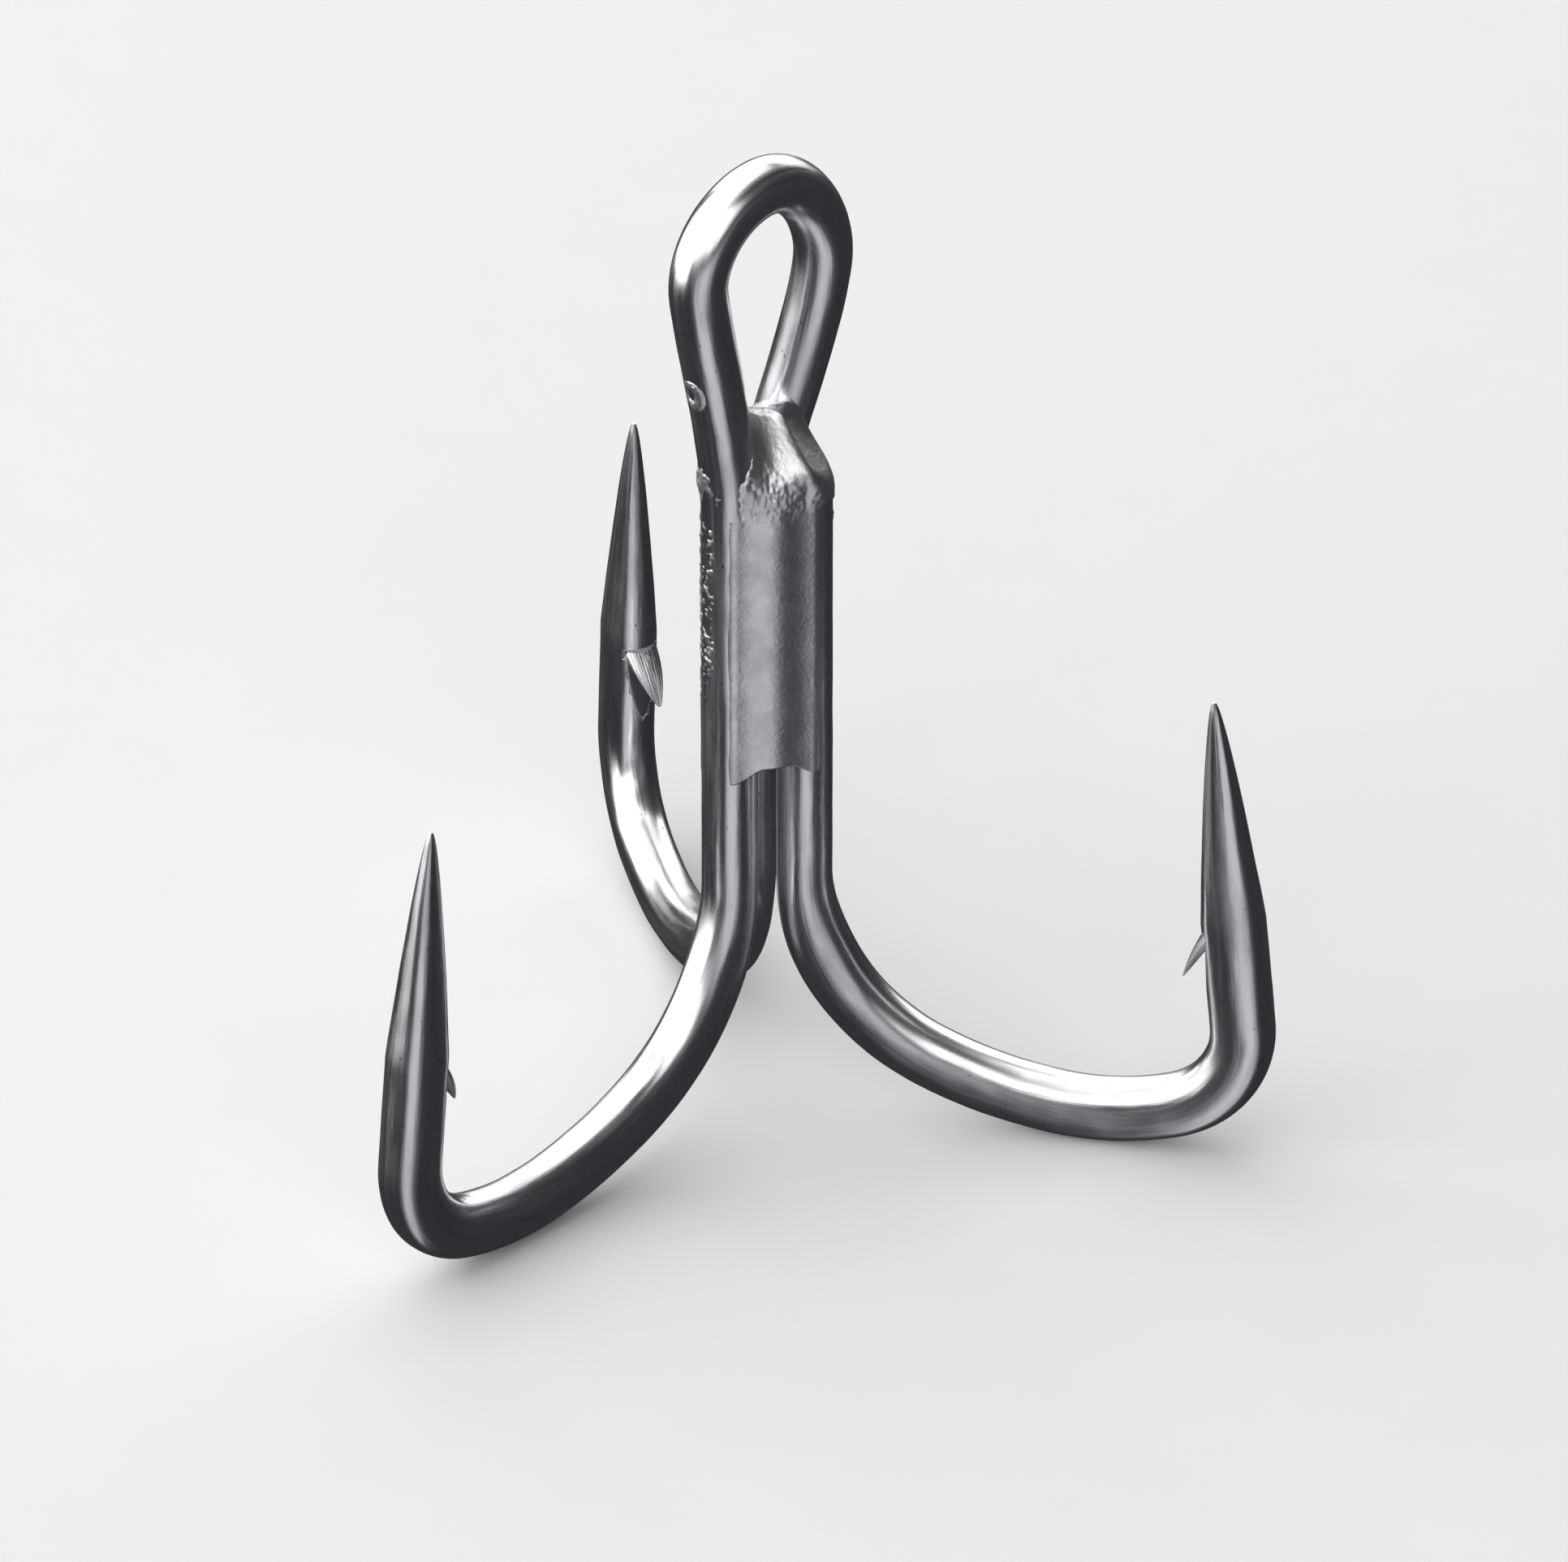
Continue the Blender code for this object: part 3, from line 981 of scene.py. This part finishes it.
@dataclass
class BrazeJoint:
    """The braze that fills between the shanks and covers the single hook's cut end.

    Attributes:
        form: The hooks' shape.
        double: The wire whose limbs it wets.
        single: The hook whose cut end it covers.
        bottom: Height of its lower end between two shanks.
        leg: How far it runs down beside each shank below that.
        above_cut: How far its top is above the cut end's middle.
        raised: How far it stands over a shank.
        bulge: How far its faces swell between two shanks.
        lap: Angle past its face over which it thins out on a shank.
        cover: Its thickness over the cut, along the axis.
        cover_raised: Its thickness round the cut end.
        core: Least radius over the cut.
        crown_from: Share of its top above which it rounds over.
        crown_closes: How much of it has gone at the very top.
        crown_spread: Angle from the single hook over which the slope sets in.
        ramp_way: The way that the plain slope over its smooth face looks.
        ramp_foot: How far from the axis that slope starts.
        ramp_head: How far from the axis it ends, at the top.
        ramp_power: How full it stays between them, 1 for a flat slope.
        climb: How far it is drawn up the eye's limbs.
        climb_reach: How far from a limb that has mostly died out.
        film: How far the braze that ran round the shanks stands over them, between its
            specks.
        film_end: How far its thinned edge lies under the wire's surface.
        grain: Height of the grains in its rough places.
        ring_points: Points round it.
        rings: Rings from its lower end to its top.
    """

    form: HookForm
    double: DoubleHookWire
    single: SingleHookWire
    bottom: float = 12.95
    leg: float = 0.5
    above_cut: float = 1.7
    raised: float = 0.03
    bulge: float = 0.16
    lap: float = 16.0
    cover: float = 0.72
    cover_raised: float = 0.06
    core: float = 0.5
    crown_from: float = 0.18
    crown_closes: float = 0.78
    crown_spread: float = 62.0
    ramp_way: float = 284.0
    ramp_foot: float = 1.95
    ramp_head: float = 0.16
    ramp_power: float = 1.4
    climb: float = 0.6
    climb_reach: float = 0.3
    film: float = -0.012
    film_end: float = 0.06
    grain: float = 0.075
    ring_points: int = 240
    rings: int = 210

    @property
    def top(self) -> float:
        """Height of its top."""
        return self.single.shank_top + self.above_cut

    @property
    def shoulder(self) -> float:
        """Height where it starts to close over the cut end."""
        return self.single.shank_top - self.single.cut_rise * self.form.stock.radius

    @staticmethod
    def turned_from(angle: float, other: float) -> float:
        """Signed angle from another, within half a turn."""
        return (angle - other + 180.0) % 360.0 - 180.0

    def valley(self, angle: float) -> tuple[float, float]:
        """Where an angle lies between its two neighbouring hooks.

        Args:
            angle: The angle.

        Returns:
            Half the angle between those hooks, and the angle from their middle.
        """
        offsets = sorted(self.turned_from(angle, hook.value) for hook in Hook)
        before = max((offset for offset in offsets if offset < 0.0), default=offsets[0])
        after = min(offset for offset in offsets if offset >= 0.0)
        return (after - before) / 2.0, (after + before) / 2.0

    def face_radius(self, angle: float) -> float:
        """Distance from the axis to its smooth face."""
        half_gap, from_valley = self.valley(angle)
        offset, radius = self.form.shank_offset, self.form.stock.radius
        flat = offset * math.cos(math.radians(half_gap)) + radius
        touch = math.degrees(math.atan2(offset * math.sin(math.radians(half_gap)), flat))
        if abs(from_valley) <= touch:
            swell = self.bulge * math.cos(math.radians(90.0 * from_valley / touch)) ** 2
            return (flat + self.raised) / math.cos(math.radians(from_valley)) + swell
        thinned = smooth_step((abs(from_valley) - touch) / self.lap)
        hook = min(Hook, key=lambda item: abs(self.turned_from(angle, item.value)))
        return self.rim_radius(angle, hook, mix(self.raised, -self.film_end, thinned))

    def rim_radius(self, angle: float, hook: Hook, thicker: float) -> float:
        """Distance from the axis to the far side of a shank, 0 where it is missed.

        Args:
            angle: The way to look from the axis.
            hook: The hook whose shank it is.
            thicker: How much is added to the shank's radius.

        Returns:
            The distance.
        """
        toward = math.cos(math.radians(self.turned_from(angle, hook.value)))
        across = self.form.shank_offset * math.sqrt(1.0 - toward * toward)
        radius = self.form.stock.radius + thicker
        if toward <= 0.0 or across >= radius:
            return 0.0
        return self.form.shank_offset * toward + math.sqrt(radius**2 - across**2)

    def radius_at(self, angle: float, height: float) -> float:
        """Distance from the axis to the braze's surface.

        Args:
            angle: The way to look from the axis.
            height: The height.

        Returns:
            The distance.
        """
        base = self.face_radius(angle)
        if height < self.shoulder:
            return base
        share = (height - self.shoulder) / (self.top - self.shoulder)
        closing = max(share - self.crown_from, 0.0) / (1.0 - self.crown_from)
        away = smooth_step(abs(self.turned_from(angle, Hook.SINGLE.value)) / self.crown_spread)
        behind = abs(self.turned_from(angle, self.ramp_way))
        away *= smooth_step((behind - 50.0) / 50.0)
        toward = math.cos(math.radians(self.turned_from(angle, Hook.SINGLE.value)))
        if toward > 0.0:
            base = max(base, self.rim_radius(angle, Hook.SINGLE, self.cover_raised))
        base *= 1.0 - self.crown_closes * away * min(closing, 1.0)
        if toward > 0.1:
            way_out = (self.single.shank_top + self.cover - height) / self.single.cut_rise
            reach = max(self.form.shank_offset + way_out, self.core) / toward
            base = soft_least(base, reach, 0.3)
        facing = math.cos(math.radians(behind))
        if facing > 0.1:
            ramp = mix(self.ramp_foot, self.ramp_head, share**self.ramp_power) / facing
            base = soft_least(base, ramp, 0.3)
        return max(base, 0.1)

    def grains_at(self, angle: float, height: float) -> tuple[float, float]:
        """How grainy the braze is somewhere.

        Args:
            angle: The way to look from the axis.
            height: The height.

        Returns:
            How grainy it is where it set on top, and where it ran round the shanks, both
            from 0 to 1.
        """
        turned = self.turned_from(angle, self.front)
        upper = smooth_step((height - self.shoulder + 0.6) / 1.2)
        smoother = smooth_step((height - self.shoulder - 0.7 + turned * 0.015) / 1.1)
        upper *= 1.0 - 0.92 * smoother
        left = smooth_step((-turned - 53.0) / 6.0) * smooth_step((height - 14.6) / 1.5)
        right = smooth_step((turned - 46.0) / 8.0) * smooth_step((height - 20.2) / 1.5)
        below = smooth_step((self.shoulder - 0.05 - height) / 0.5)
        beside = 1.0 - smooth_step((abs(turned) - 86.0) / 14.0)
        return upper, max(left, right) * below * beside

    @property
    def front(self) -> float:
        """The way that the smooth face between the first and single hooks looks."""
        return (Hook.FIRST.value + Hook.SINGLE.value + 360.0) / 2.0

    def place(self, way: Vector, level: float) -> tuple[Vector, float]:
        """A point of the surface.

        Args:
            way: Horizontal unit vector from the axis.
            level: From 0 at the lower end to 1 at the top.

        Returns:
            The point, and how grainy the set top of the braze is there.
        """
        angle = math.degrees(math.atan2(way.y, way.x)) % 360.0
        half_gap, from_valley = self.valley(angle)
        beside = smooth_step((abs(from_valley) / half_gap - 0.2) / 0.5)
        low = self.bottom - self.leg * beside
        height = mix(low, self.top, level)
        radius = self.radius_at(angle, height)
        upper, ran = self.grains_at(angle, height)
        if height < self.shoulder:
            for hook in (Hook.FIRST, Hook.SINGLE):
                film = self.rim_radius(angle, hook, mix(-self.film_end, self.film, ran))
                radius = max(radius, film)
        spot = way * radius + UP * height
        coarse = noise.noise(spot * 3.6)
        fine = noise.noise(spot * 8.0 + Vector((3.0, 7.0, 1.0)))
        wave = noise.noise(spot * 0.9) * 0.012
        grains = self.grain * max(upper, 0.9 * ran) * (0.6 * coarse + 0.75 * fine)
        return way * (radius + grains + wave) + UP * (height + grains * 0.4), upper

    def wet_limbs(self, bm: bmesh.types.BMesh) -> None:
        """Draw the top of the braze up the eye's limbs, as a liquid wets a wire.

        Args:
            bm: The braze.
        """
        spots, headings = [], []
        for hook in (Hook.FIRST, Hook.SECOND):
            limb = self.double.limb(hook)
            spots += limb[1:]
            headings += tangents(limb)[1:]
        tree = kdtree.KDTree(len(spots))
        for index, spot in enumerate(spots):
            tree.insert(spot, index)
        tree.balance()
        for vert in bm.verts:
            share = smooth_step((vert.co.z - self.shoulder) / 0.9)
            _, index, away = tree.find(vert.co)
            gap = max(away - self.form.stock.radius, 0.0)
            share *= math.exp(-gap / self.climb_reach)
            outward = Vector((vert.co.x, vert.co.y, 0.0)).normalized()
            vert.co += (headings[index] + outward * 0.25) * (self.climb * share)

    def build(self, finish: bpy.types.Material) -> bpy.types.Object:
        """Make the braze.

        Args:
            finish: Its material.

        Returns:
            The piece.
        """
        bm = bmesh.new()
        layer = bm.verts.layers.float.new(GRAIN)
        verts = bmesh.ops.create_circle(bm, segments=self.ring_points, radius=1.0)["verts"]
        ring = list({edge for vert in verts for edge in vert.link_edges})
        bmesh.ops.edgeloop_fill(bm, edges=ring)
        inner = (0.25, 0.6, 0.85, 0.96)
        levels = [(share, 0.0) for share in inner]
        levels += [(1.0, step / self.rings) for step in range(self.rings + 1)]
        levels += [(share, 1.0) for share in (0.85, 0.6, 0.3)]
        for index, (share, level) in enumerate(levels):
            if index:
                made = bmesh.ops.extrude_edge_only(bm, edges=ring)["geom"]
                verts, ring = new_verts(made), new_edges(made)
            for vert in verts:
                way = Vector((vert.co.x, vert.co.y, 0.0)).normalized()
                spot, vert[layer] = self.place(way, level)
                inside = 1.0 - share
                lift = inside * (0.5 if level == 0.0 else 0.35)
                vert.co = Vector((spot.x * share, spot.y * share, spot.z + lift))
        bmesh.ops.edgeloop_fill(bm, edges=ring)
        self.wet_limbs(bm)
        braze = object_from("braze_fillet", bm, 180.0)
        braze.data.materials.append(finish)
        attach(braze, "root")
        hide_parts("braze_joint")
        return braze


@dataclass
class BrazeBead:
    """A bead of braze that spat onto the outer side of the eye's first limb.

    Attributes:
        eye: The wire that it sits on.
        height: Of its middle.
        faces: The way that it looks.
        across: Its width.
        tall: Its height along the limb.
        proud: How far it stands off the wire.
        pit: How deep its sunk middle is.
    """

    eye: DoubleHookWire
    height: float = 27.6
    faces: float = 234.0
    across: float = 1.0
    tall: float = 1.25
    proud: float = 0.16
    pit: float = 0.17

    def build(self, finish: bpy.types.Material) -> bpy.types.Object:
        """Make the bead.

        Args:
            finish: Its material.

        Returns:
            The piece.
        """
        limb = self.eye.limb(Hook.FIRST)
        spot = min(limb, key=lambda point: abs(point.z - self.height))
        index = limb.index(spot)
        heading = (limb[index + 1] - limb[index - 1]).normalized()
        out = direction(self.faces)
        side = heading.cross(out).normalized()
        out = side.cross(heading).normalized()
        radius = self.eye.form.stock.radius
        bm = bmesh.new()
        bmesh.ops.create_icosphere(bm, subdivisions=6, radius=1.0)
        layer = bm.verts.layers.float.new(GRAIN)
        for vert in bm.verts:
            x, y, z = vert.co
            middle = math.exp(-(((x + 0.1) / 0.5) ** 2) - ((y - 0.05) / 0.5) ** 2)
            rough = 0.10 * noise.noise(Vector((x, y, z)) * 4.5)
            bend = radius - math.sqrt(max(radius**2 - (x * self.across / 2.0) ** 2, 0.0))
            rise = (z + rough) * self.proud - bend
            if z > 0.0:
                rise -= self.pit * middle
            vert.co = Vector((x * self.across / 2.0, y * self.tall / 2.0, radius + rise))
            vert[layer] = 0.15
        axes = Matrix((side, heading, out)).transposed().to_4x4()
        bmesh.ops.transform(bm, matrix=Matrix.Translation(spot) @ axes, verts=bm.verts)
        bead = object_from("braze_bead", bm, 180.0)
        bead.data.materials.append(finish)
        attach(bead, "root")
        return bead


@dataclass
class Studio:
    """Pale floor, soft lamps and the camera.

    Attributes:
        azimuth: Of the camera, in degrees from straight in front.
        elevation: Of the camera.
        distance: From the camera to what it aims at, in metres.
        lens: In millimetres.
        aim_right: How far right of the axis it aims, in millimetres.
        aim_up: How far up its own view it aims from the axis's foot, in millimetres.
        floor_size: Side of the floor, in metres.
        board_way: The way from the hook to the paler board that the metal mirrors.
        board_inner: Half the angle that the board fills evenly.
        board_outer: Half the angle over which it fades out.
        board_shade: Its brightness.
        room_shade: The brightness of the dim room.
        backdrop_shade: The brightness of the plain backdrop beyond the floor.
    """

    azimuth: float = 10.7
    elevation: float = 32.67
    distance: float = 0.898
    lens: float = 626.6
    aim_right: float = 0.75
    aim_up: float = 9.58
    floor_size: float = 1.2
    board_way: float = -70.0
    board_inner: float = 8.0
    board_outer: float = 32.0
    board_shade: tuple[float, float, float] = (0.60, 0.61, 0.635)
    room_shade: tuple[float, float, float] = (0.03, 0.032, 0.035)
    backdrop_shade: tuple[float, float, float] = (0.82, 0.82, 0.825)

    def floor(self, height: float) -> bpy.types.Object:
        """Lay the floor.

        Args:
            height: Of its surface.

        Returns:
            The floor.
        """
        bm = bmesh.new()
        bmesh.ops.create_grid(bm, x_segments=4, y_segments=4, size=self.floor_size / 2.0)
        bmesh.ops.translate(bm, vec=UP * height, verts=bm.verts)
        mesh = bpy.data.meshes.new("floor")
        bm.to_mesh(mesh)
        bm.free()
        mesh.materials.append(FloorFinish().build())
        obj = bpy.data.objects.new("floor", mesh)
        bpy.context.collection.objects.link(obj)
        obj.visible_glossy = False
        return obj

    def lamp(
        self, name: str, place: Vector, target: Vector, size: tuple[float, float], power: float
    ) -> bpy.types.Object:
        """Hang one soft box.

        Args:
            name: Its name.
            place: Where it is.
            target: What it faces.
            size: Its two sides.
            power: In watts.

        Returns:
            The lamp.
        """
        data = bpy.data.lights.new(name, "AREA")
        data.shape = "RECTANGLE"
        data.size, data.size_y = size
        data.energy = power
        obj = bpy.data.objects.new(name, data)
        obj.location = place
        obj.rotation_euler = (target - place).to_track_quat("-Z", "Y").to_euler()
        obj.visible_camera = False
        bpy.context.collection.objects.link(obj)
        return obj

    def room(self) -> None:
        """Make the dim room, a paler board in front of the hook and a plain backdrop.

        The backdrop is only seen, and lights nothing.
        """
        world = bpy.data.worlds.new("room")
        world.use_nodes = True
        tree = world.node_tree
        place = tree.nodes.new("ShaderNodeTexCoord")
        level = tree.nodes.new("ShaderNodeVectorMath")
        level.operation = "MULTIPLY"
        level.inputs[1].default_value = (1.0, 1.0, 0.0)
        unit = tree.nodes.new("ShaderNodeVectorMath")
        unit.operation = "NORMALIZE"
        ahead = tree.nodes.new("ShaderNodeVectorMath")
        ahead.operation = "DOT_PRODUCT"
        ahead.inputs[1].default_value = direction(self.board_way)
        near = tree.nodes.new("ShaderNodeMapRange")
        near.interpolation_type = "SMOOTHSTEP"
        near.inputs["From Min"].default_value = math.cos(math.radians(self.board_outer))
        near.inputs["From Max"].default_value = math.cos(math.radians(self.board_inner))
        axis = tree.nodes.new("ShaderNodeSeparateXYZ")
        under = tree.nodes.new("ShaderNodeMapRange")
        under.inputs["From Min"].default_value = 0.02
        under.inputs["From Max"].default_value = -0.10
        both = tree.nodes.new("ShaderNodeMath")
        both.operation = "MULTIPLY"
        color = tree.nodes.new("ShaderNodeMix")
        color.data_type = "RGBA"
        shades = [item for item in color.inputs if item.type == "RGBA"]
        shades[0].default_value = (*self.room_shade, 1.0)
        shades[1].default_value = (*self.board_shade, 1.0)
        tree.links.new(place.outputs["Generated"], level.inputs[0])
        tree.links.new(level.outputs["Vector"], unit.inputs[0])
        tree.links.new(unit.outputs["Vector"], ahead.inputs[0])
        tree.links.new(ahead.outputs["Value"], near.inputs["Value"])
        tree.links.new(place.outputs["Generated"], axis.inputs[0])
        tree.links.new(axis.outputs["Z"], under.inputs["Value"])
        tree.links.new(near.outputs["Result"], both.inputs[0])
        tree.links.new(under.outputs["Result"], both.inputs[1])
        tree.links.new(both.outputs["Value"], color.inputs["Factor"])
        shade = next(item for item in color.outputs if item.type == "RGBA")
        seen = tree.nodes.new("ShaderNodeLightPath").outputs["Is Camera Ray"]
        backdrop = tree.nodes.new("ShaderNodeMix")
        backdrop.data_type = "RGBA"
        sides = [item for item in backdrop.inputs if item.type == "RGBA"]
        sides[1].default_value = (*self.backdrop_shade, 1.0)
        tree.links.new(seen, backdrop.inputs["Factor"])
        tree.links.new(shade, sides[0])
        result = next(item for item in backdrop.outputs if item.type == "RGBA")
        tree.links.new(result, tree.nodes["Background"].inputs["Color"])
        bpy.context.scene.world = world

    def camera(self) -> bpy.types.Object:
        """Set up the camera."""
        around, up = math.radians(self.azimuth), math.radians(self.elevation)
        right = Vector((math.cos(around), math.sin(around), 0.0))
        forward = Vector(
            (-math.sin(around) * math.cos(up), math.cos(around) * math.cos(up), -math.sin(up))
        )
        above = right.cross(forward)
        foot = -UP * EYE_HEIGHT * MM
        aim = foot + right * (self.aim_right * MM) + above * (self.aim_up * MM)
        data = bpy.data.cameras.new("camera")
        data.sensor_fit = "HORIZONTAL"
        data.sensor_width = 36.0
        data.lens = self.lens
        data.clip_start = 0.01
        data.clip_end = 30.0
        obj = bpy.data.objects.new("camera", data)
        axes = Matrix((right, above, -forward)).transposed().to_4x4()
        obj.matrix_world = Matrix.Translation(aim - forward * self.distance) @ axes
        bpy.context.collection.objects.link(obj)
        bpy.context.scene.camera = obj
        return obj

    def build(self, floor_height: float) -> None:
        """Set up the studio.

        Args:
            floor_height: Height of the floor's surface.
        """
        self.floor(floor_height)
        centre = Vector((0.0, 0.0, -0.015))
        self.lamp("overhead", Vector((-0.22, 0.06, 0.54)), centre, (0.95, 0.95), 4.0)
        self.lamp("behind", Vector((-0.06, 0.62, 0.28)), centre, (1.10, 0.55), 3.0)
        self.lamp("left", Vector((-0.66, -0.12, 0.15)), centre, (1.30, 0.72), 5.5)
        self.lamp("front", Vector((-0.06, -0.60, 0.38)), centre, (1.10, 0.52), 3.2)
        self.room()
        self.camera()
        bpy.context.scene.view_settings.view_transform = "Standard"


def report(piece: bpy.types.Object) -> None:
    """Log one finished piece."""
    LOG.info("%s: %d faces", piece.name, len(piece.data.polygons))


def main() -> None:
    """Build the hook's pieces in order, then the studio."""
    logging.basicConfig(level=logging.INFO, format="%(message)s")
    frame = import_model()
    LOG.info("%d packed nodes", len(frame["nodes"]))
    lowest = min(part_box(name)[0][2] for name in frame["nodes"])
    wire_finish = PlatedWireFinish().build()
    braze_finish = BrazeFinish().build()
    form = HookForm(WireStock())
    barb = Barb(form)
    double = DoubleHookWire(form, barb)
    report(double.build(wire_finish))
    single = SingleHookWire(form, barb)
    report(single.build(wire_finish))
    report(BrazeJoint(form, double, single).build(braze_finish))
    report(BrazeBead(double).build(braze_finish))
    Studio().build(lowest)
    bpy.context.view_layer.update()


if __name__ == "__main__":
    main()
